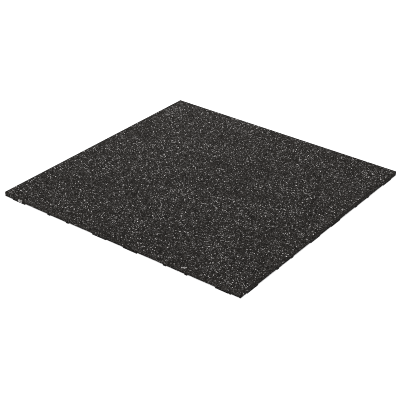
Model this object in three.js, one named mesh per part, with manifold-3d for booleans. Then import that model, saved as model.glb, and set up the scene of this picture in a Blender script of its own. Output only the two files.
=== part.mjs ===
// A square floor tile pressed from bound rubber crumb, for a gym floor.
// Its top and its four butt sides are flat. Underneath it stands on a lattice of ring feet, broad and
// slim ones by turns, and the recesses between them drain water and take up impact.
// Millimetres, +Z up. The origin is the middle of the square that the feet stand on.

import * as THREE from "three";
import { mergeVertices } from "three/addons/utils/BufferGeometryUtils.js";
import Module from "manifold-3d";

const wasm = await Module();
wasm.setup();

// Driving dimensions of the tile
const TILE_SIDE = 1000; // length of each side, the module that it is laid in
const TILE_THICKNESS = 20; // from the floor to the walking face
const TOP_CHAMFER = 0.8; // arris taken off round the walking face

// Driving dimensions of the underside
const FOOT_PITCH = 250; // between the middles of two neighbouring feet, both ways
const FOOT_HEIGHT = 4.6; // of the drainage recess, from the floor to the slab's underside
const CUP_RADIUS = 37; // of the round hollow in the middle of each foot, at the floor
const CUP_DEPTH = 3.4; // of that hollow
const BROAD_RING_WIDTH = 58; // from the hollow's rim to the outer edge of a broad foot
const SLIM_RING_WIDTH = 11; // from the hollow's rim to the outer edge of a slim foot
const WALL_SLOPE = 0.15; // run over rise of the walls underneath, so that they leave the mould

// Facets round each foot and hollow
const ROUND_SEGMENTS = 32;

// How far a cutting shape runs past the tile, so that no two faces fall together
const CUT_OVERRUN = 5;

// A closed three.js geometry as a solid that can be joined and cut
function solidFrom(geometry) {
  const positionsOnly = geometry.clone();
  positionsOnly.deleteAttribute("normal");
  positionsOnly.deleteAttribute("uv");
  const merged = mergeVertices(positionsOnly);
  return new wasm.Manifold(
    new wasm.Mesh({
      numProp: 3,
      vertProperties: new Float32Array(merged.attributes.position.array),
      triVerts: new Uint32Array(merged.index.array),
    })
  );
}

// Several solids as one
function joined(solids) {
  return solids.reduce((whole, next) => whole.add(next));
}

// The finished solid as a three.js geometry again, flat-shaded
function geometryFrom(solid) {
  const { vertProperties, triVerts } = solid.getMesh();
  const indexed = new THREE.BufferGeometry();
  indexed.setAttribute("position", new THREE.BufferAttribute(vertProperties, 3));
  indexed.setIndex(new THREE.BufferAttribute(triVerts, 1));
  const geometry = indexed.toNonIndexed();
  geometry.computeVertexNormals();
  return geometry;
}

// The pressed block, before anything is recessed: a square slab with its top arris taken off
function pressedBlock() {
  const halfTop = TILE_SIDE / 2 - TOP_CHAMFER;
  const topOutline = new THREE.Shape([
    new THREE.Vector2(-halfTop, -halfTop),
    new THREE.Vector2(halfTop, -halfTop),
    new THREE.Vector2(halfTop, halfTop),
    new THREE.Vector2(-halfTop, halfTop),
  ]);
  const block = new THREE.ExtrudeGeometry(topOutline, {
    depth: TILE_THICKNESS,
    bevelThickness: TOP_CHAMFER,
    bevelSize: TOP_CHAMFER,
    bevelSegments: 1,
  });
  block.translate(0, 0, -TOP_CHAMFER);
  return solidFrom(block).subtract(spaceBelow(0));
}

// All the space under a height, a little wider than the tile
function spaceBelow(height) {
  const width = TILE_SIDE + 2 * CUT_OVERRUN;
  const depth = height + CUT_OVERRUN;
  const space = new THREE.BoxGeometry(width, width, depth);
  space.translate(0, 0, height - depth / 2);
  return solidFrom(space);
}

// A round plug standing across the floor line at a place. Its radius at the floor is given, and it widens
// upwards by its slope, or narrows where the slope is negative.
function roundPlug({ x, y }, floorRadius, slope, topHeight) {
  const bottomHeight = -2 * CUT_OVERRUN;
  const height = topHeight - bottomHeight;
  const plug = new THREE.CylinderGeometry(
    floorRadius + slope * topHeight,
    floorRadius + slope * bottomHeight,
    height,
    ROUND_SEGMENTS
  );
  plug.rotateX(Math.PI / 2);
  plug.translate(x, y, bottomHeight + height / 2);
  return solidFrom(plug);
}

// Where the feet stand: a lattice centred on the tile, out to the last foot that reaches under it
function footPlaces() {
  const reach = TILE_SIDE / 2 + CUP_RADIUS + BROAD_RING_WIDTH;
  const steps = Math.floor(reach / FOOT_PITCH);
  const places = [];
  for (let column = -steps; column <= steps; column++) {
    for (let row = -steps; row <= steps; row++) {
      const isBroad = (column + row) % 2 === 0;
      places.push({ x: column * FOOT_PITCH, y: row * FOOT_PITCH, isBroad });
    }
  }
  return places;
}

// What the mould takes out of the block: the drainage recess round the feet, and the hollow in each
function underCut() {
  const places = footPlaces();
  const feet = places.map((place) => {
    const ringWidth = place.isBroad ? BROAD_RING_WIDTH : SLIM_RING_WIDTH;
    return roundPlug(place, CUP_RADIUS + ringWidth, WALL_SLOPE, FOOT_HEIGHT + CUT_OVERRUN);
  });
  const cups = places.map((place) => roundPlug(place, CUP_RADIUS, -WALL_SLOPE, CUP_DEPTH));
  return spaceBelow(FOOT_HEIGHT).subtract(joined(feet)).add(joined(cups));
}

const fleckedRubber = new THREE.MeshStandardMaterial({ color: 0x3a3938, roughness: 0.85, metalness: 0 });

const rubberTile = new THREE.Mesh(geometryFrom(pressedBlock().subtract(underCut())), fleckedRubber);
rubberTile.name = "rubber_tile";

const tile = new THREE.Group();
tile.add(rubberTile);

export default tile;
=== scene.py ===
"""A gym floor tile pressed from bound rubber crumb: black granules with light grey ones among them.

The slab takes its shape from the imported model. Its surface is cut into small cells and roughened, and
single granules are bedded into it. Metres, +Z up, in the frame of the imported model.
"""

import math

import bmesh
import bpy
import numpy as np
from bpy.props import (
    FloatProperty,
    FloatVectorProperty,
    IntProperty,
    PointerProperty,
)
from mathutils import Matrix, Vector, noise
from mathutils.bvhtree import BVHTree


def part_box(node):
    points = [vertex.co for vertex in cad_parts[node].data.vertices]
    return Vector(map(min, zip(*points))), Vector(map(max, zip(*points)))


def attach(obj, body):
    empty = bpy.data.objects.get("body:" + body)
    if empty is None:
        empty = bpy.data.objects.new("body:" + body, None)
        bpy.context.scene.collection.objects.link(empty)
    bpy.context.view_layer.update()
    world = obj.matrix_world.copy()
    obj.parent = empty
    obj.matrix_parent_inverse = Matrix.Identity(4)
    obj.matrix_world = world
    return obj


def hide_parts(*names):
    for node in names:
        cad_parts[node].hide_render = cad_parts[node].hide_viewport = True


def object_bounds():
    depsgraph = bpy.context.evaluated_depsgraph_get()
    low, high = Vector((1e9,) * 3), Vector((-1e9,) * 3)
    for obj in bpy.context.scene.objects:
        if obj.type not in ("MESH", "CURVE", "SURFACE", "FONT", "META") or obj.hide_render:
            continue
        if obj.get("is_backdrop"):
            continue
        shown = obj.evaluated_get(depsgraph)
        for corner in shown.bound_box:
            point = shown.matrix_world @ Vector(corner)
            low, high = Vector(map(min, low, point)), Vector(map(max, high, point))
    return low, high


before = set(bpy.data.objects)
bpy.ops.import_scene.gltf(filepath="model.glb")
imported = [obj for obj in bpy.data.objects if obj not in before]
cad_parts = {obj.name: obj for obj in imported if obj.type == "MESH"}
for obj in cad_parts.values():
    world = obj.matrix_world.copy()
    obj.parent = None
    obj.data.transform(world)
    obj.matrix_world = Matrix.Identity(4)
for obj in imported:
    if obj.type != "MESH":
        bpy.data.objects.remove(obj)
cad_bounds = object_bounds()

bl_info = {
    "name": "Rubber gym floor tile",
    "version": (1, 0, 0),
    "blender": (4, 5, 0),
    "location": "3D View > Sidebar > Floor tile",
    "description": "Dresses a pressed rubber crumb tile with its relief, granules and finish",
    "category": "Object",
}

NODE = "rubber_tile"
BODY = "root"

# What the meshes carry for their finish, with the pits' depth for the painted shade in them
PIT = "pit"
TONE = "granule_tone"
BAKE_MAP = "OFBake"

MILLIMETRE = 0.001
CLOSE = 0.01 * MILLIMETRE  # two points nearer than this are one


def length(name, description, millimetres):
    """A property that holds a length, with its default given in millimetres."""
    return FloatProperty(
        name=name,
        description=description,
        default=millimetres * MILLIMETRE,
        precision=5,
        subtype="DISTANCE",
        unit="LENGTH",
    )


def share(name, description, default):
    """A property that holds a share of a whole."""
    return FloatProperty(
        name=name, description=description, default=default, min=0.0, max=1.0, subtype="FACTOR"
    )


def colour(name, description, default):
    """A property that holds a linear colour."""
    return FloatVectorProperty(
        name=name, description=description, default=default, size=3, min=0.0, max=1.0, subtype="COLOR"
    )


def angle(name, description, degrees):
    """A property that holds an angle, with its default given in degrees."""
    return FloatProperty(
        name=name, description=description, default=math.radians(degrees), subtype="ANGLE"
    )


class SlabSettings(bpy.types.PropertyGroup):
    """The pressed slab and the rubber that it is made of."""

    cell: length("Cell", "Width of the cells that the walking face and the sides are cut into", 3.6)
    wide_cell: length("Wide cell", "Width of the cells that the underside is cut into", 12.0)
    bedding: length("Bedding", "How far the binder lies under the flush faces of the granules", 0.16)
    pit_depth: length("Pit depth", "Depth of the open pits between granules", 0.9)
    pit_share: share("Pits", "Share of the surface that is an open pit", 0.13)
    granule: length("Granule", "Mean width of a black granule in the finish", 3.4)
    grain: length("Grain", "Mean width of the finest crumb in the finish", 1.5)
    patch: length("Patch", "Mean width of the lighter and darker patches in the finish", 16.0)
    # Painted shade near the floor: how much of its lightness a side keeps at its foot
    lightness_in_painted_shade: share("Painted shade", "How much of its lightness a side keeps at the floor", 0.45)
    darkest: colour("Darkest rubber", "Colour of the darkest granules", (0.0030, 0.0027, 0.0024))
    lightest: colour("Lightest rubber", "Colour of the lightest black granules", (0.044, 0.0395, 0.0355))
    seed: IntProperty(name="Seed", description="Start of the random numbers", default=11)


class GranuleSettings(bpy.types.PropertyGroup):
    """The single granules that are bedded into the slab."""

    coarse_pitch: length("Coarse pitch", "Spacing of the places for coarse granules", 5.0)
    coarse_width: length("Coarse width", "Mean width of a coarse granule", 3.7)
    fine_pitch: length("Fine pitch", "Spacing of the places for fine granules", 3.0)
    fine_width: length("Fine width", "Mean width of a fine granule", 2.2)
    depth: length("Depth", "How deep a granule reaches into the slab", 0.9)
    coarse_share: share("Coarse flecks", "Share of the coarse places that hold a grey granule", 0.095)
    fine_share: share("Fine flecks", "Share of the fine places that hold a grey granule", 0.068)
    black_share: share("Black crumbs", "Share of the coarse places that hold a black granule", 0.3)
    side_share: share("Sides", "Granules on the sides, beside the top's", 0.12)
    under_share: share("Underneath", "Granules underneath, beside the top's", 0.3)
    dull: colour("Dull fleck", "Colour of the dullest grey granules", (0.20, 0.193, 0.189))
    pale: colour("Pale fleck", "Colour of the palest grey granules", (0.80, 0.772, 0.758))
    seed: IntProperty(name="Seed", description="Start of the random numbers", default=29)


class StudioSettings(bpy.types.PropertyGroup):
    """The floor, the lights and the camera."""

    azimuth: angle("Azimuth", "Turn of the camera round the tile, from looking along +Y", -53.95)
    elevation: angle("Elevation", "Height of the camera above the horizon", 29.68)
    roll: angle("Roll", "Lean of the camera about its own line of sight", 1.349)
    distance: length("Distance", "From the camera to the point it looks at", 3623.5)
    lens: FloatProperty(
        name="Lens", description="Focal length in millimetres", default=94.25, subtype="DISTANCE_CAMERA"
    )
    pixel_width: FloatProperty(
        name="Pixel width", description="How far round a pixel's middle the light is gathered", default=1.0
    )
    floor_colour: colour("Floor", "Colour of the plain floor", (0.50, 0.50, 0.50))
    floor_glow: FloatProperty(name="Floor glow", description="Light that the floor gives", default=1.0)
    sky: FloatProperty(name="Sky", description="Brightness of the even light all round", default=0.2)
    key: FloatProperty(name="Key", description="Strength of the large soft lamp", default=4.08)
    key_azimuth: angle("Key azimuth", "Turn of the lamp round the tile, as the camera's", -70.0)
    key_elevation: angle("Key elevation", "Height of the lamp above the horizon", 50.0)
    key_width: angle("Key width", "How wide the lamp is, seen from the tile", 35.0)
    back_power: FloatProperty(
        name="Back lamp", description="Power of the lamp over the far corner", default=6.0, unit="POWER"
    )


class TileSettings(bpy.types.PropertyGroup):
    """Everything about the tile that a user would change."""

    slab: PointerProperty(type=SlabSettings)
    granules: PointerProperty(type=GranuleSettings)
    studio: PointerProperty(type=StudioSettings)


# Shader building


class Number:
    """A number inside a material. Python's operators on it add Math nodes."""

    def __init__(self, tree, socket):
        self.tree = tree
        self.socket = socket

    def maths(self, operation, *values, clamp=False):
        node = self.tree.nodes.new("ShaderNodeMath")
        node.operation = operation
        node.use_clamp = clamp
        for socket, value in zip(node.inputs, values):
            plug(self.tree, socket, value)
        return Number(self.tree, node.outputs[0])

    def __add__(self, other):
        return self.maths("ADD", self, other)

    def __sub__(self, other):
        return self.maths("SUBTRACT", self, other)

    def __rsub__(self, other):
        return self.maths("SUBTRACT", other, self)

    def __mul__(self, other):
        return self.maths("MULTIPLY", self, other)

    def __pow__(self, other):
        return self.maths("POWER", self, other)

    def __gt__(self, other):
        return self.maths("GREATER_THAN", self, other)

    __radd__ = __add__
    __rmul__ = __mul__

    def rising(self, start, end):
        """0 below start and 1 above end, with a straight slope between."""
        return self.maths("MULTIPLY", self - start, 1.0 / (end - start), clamp=True)


def plug(tree, socket, value):
    """Gives a node's input a number, a colour, or a link from another node."""
    if isinstance(value, Number):
        tree.links.new(value.socket, socket)
    elif isinstance(value, bpy.types.NodeSocket):
        tree.links.new(value, socket)
    else:
        socket.default_value = value


class Finish:
    """A material whose nodes are written as Python."""

    def __init__(self, name):
        self.material = bpy.data.materials.new(name)
        self.material.use_nodes = True
        self.tree = self.material.node_tree
        self.surface = self.tree.nodes["Principled BSDF"]

    def node(self, kind, settings=None, values=None):
        """A new node: its type, its settings, and the values or links of its inputs."""
        made = self.tree.nodes.new("ShaderNode" + kind)
        for name, setting in (settings or {}).items():
            setattr(made, name, setting)
        for name, value in (values or {}).items():
            socket = next(s for s in made.inputs if name in (s.identifier, s.name) and s.enabled)
            plug(self.tree, socket, value)
        return made

    def number(self, made, output):
        """One output of a node, as a number."""
        return Number(self.tree, made.outputs[output])

    def place(self):
        """Where a point lies on the piece, in metres."""
        return self.node("TexCoord").outputs["Object"]

    def distances(self, where):
        """How far out a point lies from the piece's upright middle line, and how far up."""
        parts = self.node("SeparateXYZ", None, {"Vector": where})
        x, y, z = (self.number(parts, axis) for axis in "XYZ")
        return x.maths("MAXIMUM", x.maths("ABSOLUTE", x), y.maths("ABSOLUTE", y)), z

    def cells(self, where, width, feature="F1"):
        """Packed cells of a mean width, like pressed granules."""
        return self.node("TexVoronoi", {"feature": feature}, {"Vector": where, "Scale": 1.0 / width})

    def cell_number(self, cells):
        """A number between 0 and 1 that is the same all over one cell."""
        return self.number(self.node("SeparateColor", None, {"Color": cells.outputs["Color"]}), "Red")

    def clouds(self, where, width):
        """Soft noise between 0 and 1, with patches of about the given width."""
        return self.number(self.node("TexNoise", None, {"Vector": where, "Scale": 1.0 / width}), "Fac")

    def attribute(self, name):
        """A number that the piece's own mesh carries."""
        return self.number(self.node("Attribute", {"attribute_name": name}), "Fac")

    def mixed(self, factor, first, second):
        """A colour between two."""
        values = {"Factor_Float": factor, "A_Color": first, "B_Color": second}
        made = self.node("Mix", {"data_type": "RGBA"}, values)
        return next(s for s in made.outputs if s.identifier == "Result_Color")

    def bumped(self, height, depth):
        """The surface's normal, with a height between 0 and 1 raised by a depth in metres."""
        return self.node("Bump", None, {"Height": height, "Distance": depth}).outputs["Normal"]

    def set(self, **values):
        """Sets the shader's own inputs, with an underscore for each space in their names."""
        for name, value in values.items():
            plug(self.tree, self.surface.inputs[name.replace("_", " ")], value)


def opaque(rgb):
    """A colour property as a shader colour."""
    return (*rgb, 1.0)


# Rubber finishes

SHEEN = 0.05  # of all the rubber, as the shader's specular level

# What the black crumb's tone is made of
GRANULE_PART = 0.62
GRAIN_PART = 0.16
PATCH_PART = 0.22
GRANULE_TONE_POWER = 1.6  # over 1, so that most granules are dark
PATCH_NOISE = (0.34, 0.66)  # the noise in the darkest patches and in the lightest

GREY_GRAINS_FROM = 0.94  # a grain whose number is over this is grey
GREY_GRAIN_COVER = 0.8  # how much of the grey a grey grain takes on

SEAM_WIDTH = 0.12  # of a granule's width
SEAM_LIGHTNESS = 0.45  # what a seam keeps of the rubber's own lightness
PIT_PAINTED_SHADE = 0.75  # what the deepest pit loses of it, as painted shade in the pit
BINDER_LIGHTNESS = 0.4  # of the darkest rubber's
SEAM_RELIEF = 0.7  # of the relief, and the grains give the rest
CRUMB_RELIEF_DEPTH = 0.35 * MILLIMETRE
CRUMB_ROUGHNESS = 0.78  # of the darkest grain
GRAIN_ROUGHNESS = 0.18  # added to it on the lightest

# The painted shade low on the sides, which stands in for the shade near the floor: how far inside a side's
# plane it begins and is whole, and how far up the tile's thickness it is full and ends
SIDE_BEGINS = 2.0 * MILLIMETRE
SIDE_IS_WHOLE = 1.2 * MILLIMETRE
SHADE_IS_FULL = 0.15
SHADE_ENDS = 0.65

# What a single granule's shade is made of
OWN_TONE_PART = 0.85
MOTTLE_PART = 0.3
MOTTLE_WIDTH = 1.5 * MILLIMETRE
MOTTLE_RELIEF_DEPTH = 0.12 * MILLIMETRE
GRANULE_ROUGHNESS = 0.72  # where its mottling is darkest
MOTTLE_ROUGHNESS = 0.2  # added to it where that is lightest


def bound_crumb(slab, granules):
    """Black crumb in its binder, with the finest grey crumb among it. Painted shade darkens it low on the
    sides, near the floor, and in the pits.
    """
    finish = Finish("bound_rubber_crumb")
    half, _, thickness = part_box(NODE)[1]
    where = finish.place()
    granule_cells = finish.cells(where, slab.granule)
    granule_edges = finish.cells(where, slab.granule, "DISTANCE_TO_EDGE")
    grain_cells = finish.cells(where, slab.grain)
    pit = finish.attribute(PIT)

    granule_tone = finish.cell_number(granule_cells) ** GRANULE_TONE_POWER
    grain_tone = finish.cell_number(grain_cells)
    patches = finish.clouds(where, slab.patch).rising(*PATCH_NOISE)
    tone = granule_tone * GRANULE_PART + grain_tone * GRAIN_PART + patches * PATCH_PART
    rubber = finish.mixed(tone, opaque(slab.darkest), opaque(slab.lightest))
    is_grey = grain_tone > GREY_GRAINS_FROM
    flecked = finish.mixed(is_grey * GREY_GRAIN_COVER, rubber, opaque(granules.dull))

    seam = finish.number(granule_edges, "Distance").rising(0.0, SEAM_WIDTH)
    # The seams show the darker binder, and the pits are darkened as painted shade
    lightness = (SEAM_LIGHTNESS + seam * (1.0 - SEAM_LIGHTNESS)) * (1.0 - PIT_PAINTED_SHADE * pit)
    outward, height = finish.distances(where)
    on_side = outward.rising(half - SIDE_BEGINS, half - SIDE_IS_WHOLE)
    shaded = on_side * (1.0 - height.rising(SHADE_IS_FULL * thickness, SHADE_ENDS * thickness))
    relief = seam * SEAM_RELIEF + finish.number(grain_cells, "Distance") * (1.0 - SEAM_RELIEF)
    # The binder shows in the seams, and painted shade darkens the pits and the sides near the floor
    finish.set(
        Base_Color=finish.mixed(
            lightness * (1.0 - (1.0 - slab.lightness_in_painted_shade) * shaded),
            opaque([BINDER_LIGHTNESS * part for part in slab.darkest]),
            flecked,
        ),
        Roughness=CRUMB_ROUGHNESS + GRAIN_ROUGHNESS * grain_tone,
        Specular_IOR_Level=SHEEN,
        Normal=finish.bumped(relief, CRUMB_RELIEF_DEPTH),
    )
    return finish.material


def granule_rubber(name, darker, lighter):
    """The rubber of single granules. Each granule carries its own tone."""
    finish = Finish(name)
    mottle = finish.clouds(finish.place(), MOTTLE_WIDTH)
    excess = (OWN_TONE_PART + MOTTLE_PART - 1.0) / 2  # taken off, so that the middle shade is one half
    shade = finish.attribute(TONE) * OWN_TONE_PART + mottle * MOTTLE_PART - excess
    finish.set(
        Base_Color=finish.mixed(shade, opaque(darker), opaque(lighter)),
        Roughness=GRANULE_ROUGHNESS + MOTTLE_ROUGHNESS * mottle,
        Specular_IOR_Level=SHEEN,
        Normal=finish.bumped(mottle, MOTTLE_RELIEF_DEPTH),
    )
    return finish.material


# Slab building

SAME_CORNER = 0.001 * MILLIMETRE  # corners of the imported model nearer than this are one
SAME_PLANE = math.radians(0.2)  # its faces that meet at less than this are one
FEET_SHARE = 0.25  # of the tile's thickness, taken up by the feet's ends, which aren't cut across

TOP_MAP_SHARE = 0.64  # of the bake map's width, taken up by the walking face
MAP_GAP = 0.02  # between two parts of the bake map
TOP_NORMAL = 0.5  # a face whose normal rises more than this is mapped with the walking face

MOST_MOVE = 0.5  # of the shortest edge at a corner, which no corner moves past
SAME_NORMAL = 0.9999  # the product of two normals, over which they look one way
LEAST_BEDDING = 0.4  # of the full bedding
SIDEWAYS = 0.5  # of the room at a corner
SMOOTH_ANGLE = math.radians(38)  # faces that meet at less than this are shaded as one


def object_from(name, data):
    """A new object in the scene, at the origin."""
    made = bpy.data.objects.new(name, data)
    bpy.context.scene.collection.objects.link(made)
    return made


def finish_piece(piece, material, replaces=()):
    """Puts a finished piece on the tile's body."""
    piece.data.materials.append(material)
    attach(piece, BODY)
    if replaces:
        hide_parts(*replaces)


def cad_solid():
    """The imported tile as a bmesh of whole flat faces."""
    bm = bmesh.new()
    bm.from_mesh(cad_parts[NODE].data)
    bmesh.ops.remove_doubles(bm, verts=bm.verts, dist=SAME_CORNER)
    bmesh.ops.dissolve_limit(bm, angle_limit=SAME_PLANE, verts=bm.verts, edges=bm.edges)
    return bm


def cut_across(bm, axis, places, faces):
    """Cuts faces by planes square to an axis. The places rise, so only what lies ahead is cut again."""
    direction = Vector((0.0, 0.0, 0.0))
    direction[axis] = 1.0
    for place in places:
        edges = {edge for face in faces for edge in face.edges}
        verts = {vert for edge in edges for vert in edge.verts}
        cut = bmesh.ops.bisect_plane(
            bm, geom=[*verts, *edges, *faces], plane_co=direction * place, plane_no=direction
        )
        faces = [
            item
            for item in cut["geom"]
            if isinstance(item, bmesh.types.BMFace) and item.calc_center_median()[axis] > place
        ]


def steps_between(low, high, pitch):
    """Evenly spaced places inside a span, as near to a pitch as fits it."""
    count = max(round((high - low) / pitch), 1)
    return np.linspace(low, high, count + 1)[1:-1]


def cut_to_cells(bm, cell, wide_cell):
    """Cuts the underside into wide cells, and the four sides and the walking face into close ones."""
    low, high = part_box(NODE)
    top = next(face for face in bm.faces if min(vert.co.z for vert in face.verts) > high[2] - CLOSE)
    half = max(vert.co.x for vert in top.verts)

    def is_side(face):
        middle = face.calc_center_median()
        return max(abs(middle.x), abs(middle.y)) > half

    for axis in (0, 1):
        under = [face for face in bm.faces if face is not top and not is_side(face)]
        cut_across(bm, axis, steps_between(low[axis], high[axis], wide_cell), under)
    for axis in (0, 1):
        cut_across(bm, axis, steps_between(-half, half, cell), [face for face in bm.faces if is_side(face)])
    feet_height = FEET_SHARE * (high[2] - low[2])
    rises = steps_between(low[2] + feet_height, high[2], cell)
    cut_across(bm, 2, rises, [face for face in bm.faces if is_side(face)])

    bmesh.ops.delete(bm, geom=[top], context="FACES_ONLY")
    count = len(steps_between(-half, half, cell)) + 1
    place = Matrix.Translation((0.0, 0.0, high[2]))
    bmesh.ops.create_grid(bm, x_segments=count, y_segments=count, size=half, matrix=place)
    bmesh.ops.remove_doubles(bm, verts=bm.verts, dist=CLOSE)


def map_for_baking(bm):
    """Lays every face flat in a map for baking.

    The walking face is a square, with the underside beside it and the sides in strips above it.
    """
    low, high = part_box(NODE)
    span = high[0] - low[0]
    bake_map = bm.loops.layers.uv.new(BAKE_MAP)
    under_share = 1.0 - TOP_MAP_SHARE - MAP_GAP
    for face in bm.faces:
        normal = face.normal
        is_top = normal.z > TOP_NORMAL
        is_side = min(max(abs(vert.co.x), abs(vert.co.y)) for vert in face.verts) > high[0] - CLOSE
        along = 1 if abs(normal.x) > abs(normal.y) else 0
        row = 2 * along + (normal[1 - along] > 0)
        for loop in face.loops:
            x, y, z = ((loop.vert.co[axis] - low[axis]) / span for axis in range(3))
            if is_top:
                place = (x * TOP_MAP_SHARE, y * TOP_MAP_SHARE)
            elif is_side:
                place = ((x, y)[along], TOP_MAP_SHARE + MAP_GAP * (2 * row + 1) + z)
            else:
                place = (1.0 - under_share + x * under_share, y * under_share)
            loop[bake_map].uv = place


def roughen(bm, slab):
    """Moves each corner a little inwards, and sideways where it lies in a flat face. Some are pits."""
    rng = np.random.default_rng(slab.seed)
    pit_layer = bm.verts.layers.float.new(PIT)
    moves = []
    for vert in bm.verts:
        room = MOST_MOVE * min(edge.calc_length() for edge in vert.link_edges)
        flat = all(face.normal.dot(vert.normal) > SAME_NORMAL for face in vert.link_faces)
        pit = rng.random() if rng.random() < slab.pit_share else 0.0
        depth = slab.bedding * rng.uniform(LEAST_BEDDING, 1.0) + slab.pit_depth * pit
        move = -min(depth, room) * vert.normal
        if flat:
            slide = Vector(rng.uniform(-SIDEWAYS, SIDEWAYS, 3)) * room
            move += slide - slide.dot(vert.normal) * vert.normal
        vert[pit_layer] = pit
        moves.append(move)
    for vert, move in zip(bm.verts, moves):
        vert.co += move


def build_slab(slab, granules):
    """The whole pressed tile, closed, with crumb relief on every face."""
    bm = cad_solid()
    cut_to_cells(bm, slab.cell, slab.wide_cell)
    bmesh.ops.triangulate(bm, faces=bm.faces)
    bm.normal_update()
    map_for_baking(bm)
    roughen(bm, slab)
    mesh = bpy.data.meshes.new("crumb_slab")
    bm.to_mesh(mesh)
    bm.free()
    mesh.shade_smooth()
    mesh.set_sharp_from_angle(angle=SMOOTH_ANGLE)
    finish_piece(object_from("crumb_slab", mesh), bound_crumb(slab, granules), [NODE])


# Granule building

# A granule is made about one unit wide and one unit deep
ROOT_RADIUS = 0.56
FLUSH_RADIUS = 0.44
HALF_DEPTH = 0.5
CORNER_REACH = (0.78, 1.22)  # the least and the most that a corner's radius is multiplied by
FLUSH_DIP = 0.12  # the most that a corner of the flush face lies under it
GRANULE_SIDES = (3, 4, 5)
SHAPES_EACH = 8  # for each number of sides

SPREAD = (0.75, 1.3)  # the least and the most that a granule is drawn out
LEAN = 0.05  # radians, as a standard deviation
DEEPEST_SEAT = 0.05  # millimetres from the tile's surface down to a granule's highest corner
OUTLINE_IN_MAP = 0.6  # of its size, so that it stays inside its own square of the bake map

# The clumps that the granules lie in: their widths in metres, and how much they change the granules' share
WIDE_CLUMP = 0.11
WIDE_CLUMP_CHANGE = 0.5
SMALL_CLUMP = 0.022
SMALL_CLUMP_CHANGE = 0.6
MOST_CLUMPING = 1.0 + WIDE_CLUMP_CHANGE + SMALL_CLUMP_CHANGE

RAY_START = 0.01  # metres outside the tile
RAY_REACH = 0.02  # metres
ALONG_NORMAL = 0.999  # the product of two normals, over which a face counts as looking the wanted way
LEAST_WIDTH = 0.65  # of the mean width
WIDTH_RANGE = 0.7  # of the mean width, from the narrowest granule to the widest
ROOM_BESIDE = 0.75  # of a granule's width, kept on each side of its middle

# Two spots near the edges where grey crumb lies close together: the places of their granules on the tile
# and the granules' widths, in millimetres
SIDE_SPOT = [
    ((-500, 429.5, 13.0), 6.5),
    ((-500, 434.5, 9.0), 6.5),
    ((-500, 429.5, 8.8), 6.0),
    ((-500, 424.5, 11.0), 6.5),
    ((-500, 419.8, 12.0), 6.5),
    ((-500, 434.5, 4.6), 5.5),
    ((-500, 429.8, 4.8), 5.5),
    ((-500, 424.8, 6.5), 6.0),
    ((-500, 420.0, 7.6), 6.5),
    ((-500, 425.0, 3.4), 4.2),
    ((-500, 420.3, 3.6), 4.5),
]
SIDE_SPOT_TONE = 0.25
TOP_SPOT = [
    ((-491.1, -282.3, 20), 8.0),
    ((-488.5, -285.4, 20), 6.5),
    ((-493.7, -279.2, 20), 6.5),
    ((-486.8, -280.3, 20), 6.5),
    ((-494.8, -285.3, 20), 6.0),
]
TOP_SPOT_TONE = 0.2

TOP = Vector((0, 0, 1))
LEFT_FRONT = Vector((-1, 0, 0))
SIDES = [LEFT_FRONT, Vector((1, 0, 0)), Vector((0, 1, 0)), Vector((0, -1, 0))]


def granule_shapes(rng, sides, count):
    """Angular granules of unit size, their flush face at height 0 and their root at -1."""
    shapes = []
    for _ in range(count):
        bm = bmesh.new()
        bmesh.ops.create_cone(
            bm,
            cap_ends=True,
            segments=sides,
            radius1=ROOT_RADIUS,
            radius2=FLUSH_RADIUS,
            depth=2 * HALF_DEPTH,
        )
        bmesh.ops.translate(bm, verts=bm.verts, vec=(0.0, 0.0, -HALF_DEPTH))
        for vert in bm.verts:
            vert.co.xy *= rng.uniform(*CORNER_REACH)
            if vert.co.z > -HALF_DEPTH:
                vert.co.z -= FLUSH_DIP * rng.random()
        bmesh.ops.triangulate(bm, faces=bm.faces)
        corners = np.array([vert.co for vert in bm.verts])
        bm.verts.index_update()
        faces = np.array([[vert.index for vert in face.verts] for face in bm.faces])
        shapes.append((corners, faces))
        bm.free()
    return shapes


class Bed:
    """Granules laid on the tile, to be joined into one piece."""

    def __init__(self, seed):
        self.rng = np.random.default_rng(seed)
        self.shapes = [
            shape for sides in GRANULE_SIDES for shape in granule_shapes(self.rng, sides, SHAPES_EACH)
        ]
        self.rows = []

    def lay(self, at, normal, width, depth, tone=None):
        """One granule, turned at random and leaning a little, with its highest corner about flush.

        Its tone, from darkest at 0 to lightest at 1, is random where none is given.
        """
        rng = self.rng
        upright = normal.to_track_quat("Z", "Y").to_matrix()
        turn = Matrix.Rotation(rng.uniform(0.0, math.tau), 3, "Z")
        lean = Matrix.Rotation(rng.normal(0.0, LEAN), 3, "X")
        spread = rng.uniform(*SPREAD)
        size = Matrix.Diagonal((width * spread, width / spread, depth))
        shape_corners, shape_faces = self.shapes[rng.integers(len(self.shapes))]
        corners = shape_corners @ np.array(upright @ turn @ lean @ size).T
        proud = max(corners @ np.array(normal)) + rng.uniform(0.0, DEEPEST_SEAT) * MILLIMETRE
        corners += np.array(at - normal * proud)
        if tone is None:
            tone = rng.random()
        self.rows.append((corners, shape_faces, shape_corners[:, :2], tone))

    def joined(self, name):
        """All the granules as one mesh, with each one's tone and its own place in the bake map."""
        corners, faces, tones, spots = [], [], [], []
        across = math.ceil(math.sqrt(len(self.rows)))
        first = 0
        for index, (own_corners, own_faces, outline, tone) in enumerate(self.rows):
            corners.append(own_corners)
            faces.append(own_faces + first)
            tones.append(np.full(len(own_corners), tone))
            middle = np.array([index % across + 0.5, index // across + 0.5])
            spots.append((outline * OUTLINE_IN_MAP + middle) / across)
            first += len(own_corners)
        faces = np.concatenate(faces)
        mesh = bpy.data.meshes.new(name)
        mesh.from_pydata(np.concatenate(corners), [], faces)
        tone_layer = mesh.attributes.new(TONE, "FLOAT", "POINT")
        tone_layer.data.foreach_set("value", np.concatenate(tones))
        bake_map = mesh.uv_layers.new(name=BAKE_MAP)
        bake_map.data.foreach_set("uv", np.concatenate(spots)[faces.ravel()].ravel())
        return object_from(name, mesh)


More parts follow.
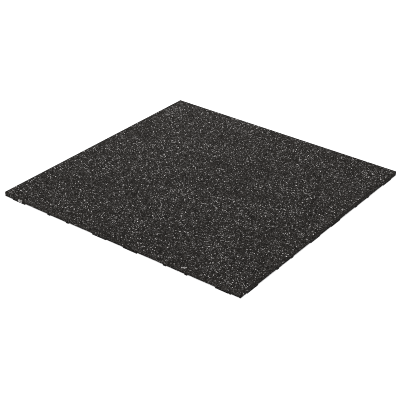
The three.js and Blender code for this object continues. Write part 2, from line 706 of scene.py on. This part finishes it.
def clumping(place):
    """How thick the granules lie at a place, about 1 on average. They come in loose clumps."""
    wide = WIDE_CLUMP_CHANGE * noise.noise(place / WIDE_CLUMP)
    small = SMALL_CLUMP_CHANGE * noise.noise(place / SMALL_CLUMP)
    return max(1.0 + wide + small, 0.0)


class Surface:
    """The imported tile's surface, to land granules on."""

    def __init__(self):
        bm = bmesh.new()
        bm.from_mesh(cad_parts[NODE].data)
        self.tree = BVHTree.FromBMesh(bm)
        bm.free()

    def hit(self, start, normal):
        """Where a ray against the normal lands, if the face there looks along that normal."""
        place, face_normal, _, _ = self.tree.ray_cast(start, -normal, RAY_REACH)
        return place if place is not None and face_normal.dot(normal) > ALONG_NORMAL else None

    def rooms(self, rng, normal, pitch, width, wanted_share):
        """Chosen places with room for a granule on the faces that look one way, with its width there.

        There is one place in each cell of a lattice, off the cell's middle.
        """
        low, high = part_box(NODE)
        axis = max(range(3), key=lambda i: abs(normal[i]))
        first, second = [i for i in range(3) if i != axis]
        above = (high[axis] if normal[axis] > 0 else low[axis]) + RAY_START * normal[axis]
        for row in np.arange(low[first] + pitch / 2, high[first], pitch):
            for place_in_row in np.arange(low[second] + pitch / 2, high[second], pitch):
                draw, first_off, second_off, size = rng.random(4)
                if draw > wanted_share * MOST_CLUMPING:
                    continue
                start = Vector((0.0, 0.0, 0.0))
                start[first] = row + (first_off - 0.5) * pitch
                start[second] = place_in_row + (second_off - 0.5) * pitch
                start[axis] = above
                granule_width = width * (LEAST_WIDTH + WIDTH_RANGE * size)
                if draw > wanted_share * clumping(start):
                    continue
                place = self.hit(start, normal)
                if place is not None and self.has_room(start, normal, first, second, granule_width):
                    yield place, granule_width

    def has_room(self, middle, normal, first, second, width):
        """Whether the face goes on to each side of a place, as far as a granule there reaches."""
        for axis in (first, second):
            for side in (-ROOM_BESIDE, ROOM_BESIDE):
                start = middle.copy()
                start[axis] += side * width
                if self.hit(start, normal) is None:
                    return False
        return True


def laid_faces(granules):
    """The end of each granule piece's name, with the faces it covers and how thick it lies there."""
    sides = [(normal, granules.side_share) for normal in SIDES]
    return {"top": [(TOP, 1.0)], "elsewhere": [*sides, (-TOP, granules.under_share)]}


def lay_spot(bed, spot, normal, depth, tone):
    """Lays the granules of one spot, all of one tone."""
    for place, width in spot:
        bed.lay(Vector(place) * MILLIMETRE, normal, width * MILLIMETRE, depth, tone)


def strew(bed, surface, faces, pitch, width, depth, wanted_share):
    """Lays granules of one kind on the given faces."""
    for normal, factor in faces:
        for place, granule_width in surface.rooms(bed.rng, normal, pitch, width, wanted_share * factor):
            bed.lay(place, normal, granule_width, depth)


def build_flecks(granules):
    """The grey granules, on the walking face and then, thinner, on the rest."""
    surface = Surface()
    material = granule_rubber("grey_granules", granules.dull, granules.pale)
    coarse = (granules.coarse_pitch, granules.coarse_width, granules.depth, granules.coarse_share)
    fine = (granules.fine_pitch, granules.fine_width, granules.depth, granules.fine_share)
    for where, faces in laid_faces(granules).items():
        bed = Bed(granules.seed)
        if where == "top":
            lay_spot(bed, TOP_SPOT, TOP, granules.depth, TOP_SPOT_TONE)
        else:
            lay_spot(bed, SIDE_SPOT, LEFT_FRONT, granules.depth, SIDE_SPOT_TONE)
        strew(bed, surface, faces, *coarse)
        strew(bed, surface, faces, *fine)
        finish_piece(bed.joined("grey_flecks_" + where), material)


def build_crumbs(slab, granules):
    """Black granules that stand out of the binder, on every face."""
    surface = Surface()
    material = granule_rubber("black_granules", slab.darkest, slab.lightest)
    coarse = (granules.coarse_pitch, granules.coarse_width, granules.depth, granules.black_share)
    for where, faces in laid_faces(granules).items():
        bed = Bed(granules.seed + 1)
        strew(bed, surface, faces, *coarse)
        finish_piece(bed.joined("black_crumbs_" + where), material)


# Studio building

AIM = Vector((-0.1217, -0.0657, 0.0200))  # the point of the walking face in the middle of the picture
SENSOR_WIDTH = 36.0  # millimetres
FLOOR_REACH = 20.0  # metres from the tile to the floor's edge
FLOOR_ROUGHNESS = 0.9
FLOOR_SHEEN = 0.1
SKY_COLOUR = (1.0, 1.0, 1.0)
FAR_CORNER = Vector((0.5, 0.5, 0.02))  # of the walking face, from the camera
BACK_LAMP_PLACE = Vector((0.85, 0.85, 0.9))
BACK_LAMP_WIDTH = 1.0


def build_floor(studio):
    """The plain floor, which gives a little light of its own."""
    bm = bmesh.new()
    bmesh.ops.create_grid(bm, x_segments=1, y_segments=1, size=FLOOR_REACH)
    mesh = bpy.data.meshes.new("floor")
    bm.to_mesh(mesh)
    bm.free()
    floor = object_from("floor", mesh)
    finish = Finish("plain_floor")
    tint = opaque(studio.floor_colour)
    finish.set(Base_Color=tint, Roughness=FLOOR_ROUGHNESS, Specular_IOR_Level=FLOOR_SHEEN)
    finish.set(Emission_Color=tint, Emission_Strength=studio.floor_glow)
    mesh.materials.append(finish.material)
    floor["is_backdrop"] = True


def towards_tile(azimuth, elevation):
    """The direction from something that stands round the tile to the tile."""
    level = math.cos(elevation)
    return Vector((-math.sin(azimuth) * level, math.cos(azimuth) * level, -math.sin(elevation)))


def build_sky(studio):
    """Even light all round."""
    world = bpy.data.worlds.new("studio")
    world.use_nodes = True
    background = world.node_tree.nodes["Background"]
    background.inputs["Strength"].default_value = studio.sky
    background.inputs["Color"].default_value = opaque(SKY_COLOUR)
    bpy.context.scene.world = world


def build_key_lamp(studio):
    """The large soft lamp, on the camera's side and a little to its left."""
    lamp = object_from("key", bpy.data.lights.new("key", "SUN"))
    lamp.data.energy = studio.key
    lamp.data.angle = studio.key_width
    towards = towards_tile(studio.key_azimuth, studio.key_elevation)
    lamp.rotation_euler = towards.to_track_quat("-Z", "Y").to_euler()


def build_back_lamp(studio):
    """A small lamp that lightens the far corner a little."""
    lamp = object_from("back", bpy.data.lights.new("back", "AREA"))
    lamp.data.energy = studio.back_power
    lamp.data.size = BACK_LAMP_WIDTH
    lamp.location = BACK_LAMP_PLACE
    lamp.rotation_euler = (FAR_CORNER - BACK_LAMP_PLACE).to_track_quat("-Z", "Y").to_euler()


def build_camera(studio):
    """The camera, at the photograph's viewing angle."""
    data = bpy.data.cameras.new("camera")
    data.sensor_width = SENSOR_WIDTH
    data.lens = studio.lens
    camera = object_from("camera", data)
    towards = towards_tile(studio.azimuth, studio.elevation)
    upright = towards.to_track_quat("-Z", "Y").to_matrix()
    leaning = upright @ Matrix.Rotation(studio.roll, 3, "Z")
    place = AIM - towards * studio.distance
    camera.matrix_world = Matrix.LocRotScale(place, leaning.to_quaternion(), None)
    bpy.context.scene.camera = camera


def keep_crumb_sharp(studio):
    """A granule is about one pixel wide, so each pixel stays as sharp as in a photograph."""
    bpy.context.scene.cycles.filter_width = studio.pixel_width
    bpy.context.scene.cycles.use_denoising = False


class SlabOperator(bpy.types.Operator):
    """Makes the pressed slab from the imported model"""

    bl_idname = "floor_tile.slab"
    bl_label = "Pressed slab"

    def execute(self, context):
        build_slab(context.scene.floor_tile.slab, context.scene.floor_tile.granules)
        return {"FINISHED"}


class FlecksOperator(bpy.types.Operator):
    """Beds the light grey granules into the slab"""

    bl_idname = "floor_tile.flecks"
    bl_label = "Grey flecks"

    def execute(self, context):
        build_flecks(context.scene.floor_tile.granules)
        return {"FINISHED"}


class CrumbsOperator(bpy.types.Operator):
    """Beds the black granules into the slab"""

    bl_idname = "floor_tile.crumbs"
    bl_label = "Black crumbs"

    def execute(self, context):
        build_crumbs(context.scene.floor_tile.slab, context.scene.floor_tile.granules)
        return {"FINISHED"}


class StudioOperator(bpy.types.Operator):
    """Makes the floor, the lights and the camera"""

    bl_idname = "floor_tile.studio"
    bl_label = "Studio"

    def execute(self, context):
        studio = context.scene.floor_tile.studio
        context.scene.view_settings.view_transform = "Standard"
        build_floor(studio)
        build_sky(studio)
        build_key_lamp(studio)
        build_back_lamp(studio)
        build_camera(studio)
        keep_crumb_sharp(studio)
        return {"FINISHED"}


class TilePanel(bpy.types.Panel):
    """Lists the settings and the steps that make the tile"""

    bl_idname = "VIEW3D_PT_floor_tile"
    bl_label = "Rubber gym floor tile"
    bl_space_type = "VIEW_3D"
    bl_region_type = "UI"
    bl_category = "Floor tile"

    def draw(self, context):
        settings = context.scene.floor_tile
        for group, steps in (
            (settings.slab, (SlabOperator,)),
            (settings.granules, (FlecksOperator, CrumbsOperator)),
            (settings.studio, (StudioOperator,)),
        ):
            box = self.layout.box()
            for name in group.bl_rna.properties.keys():
                if name not in ("rna_type", "name"):
                    box.prop(group, name)
            for step in steps:
                box.operator(step.bl_idname)


CLASSES = (
    SlabSettings,
    GranuleSettings,
    StudioSettings,
    TileSettings,
    SlabOperator,
    FlecksOperator,
    CrumbsOperator,
    StudioOperator,
    TilePanel,
)


def register():
    for cls in CLASSES:
        bpy.utils.register_class(cls)
    bpy.types.Scene.floor_tile = PointerProperty(type=TileSettings)


def unregister():
    del bpy.types.Scene.floor_tile
    for cls in reversed(CLASSES):
        bpy.utils.unregister_class(cls)


def main():
    """Makes the tile and its studio."""
    register()
    bpy.ops.floor_tile.slab()
    bpy.ops.floor_tile.flecks()
    bpy.ops.floor_tile.crumbs()
    bpy.ops.floor_tile.studio()
    sizes = {"cad": cad_bounds, "visual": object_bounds()}
    {name: [list(corner) for corner in box] for name, box in sizes.items()}


if __name__ == "__main__":
    main()
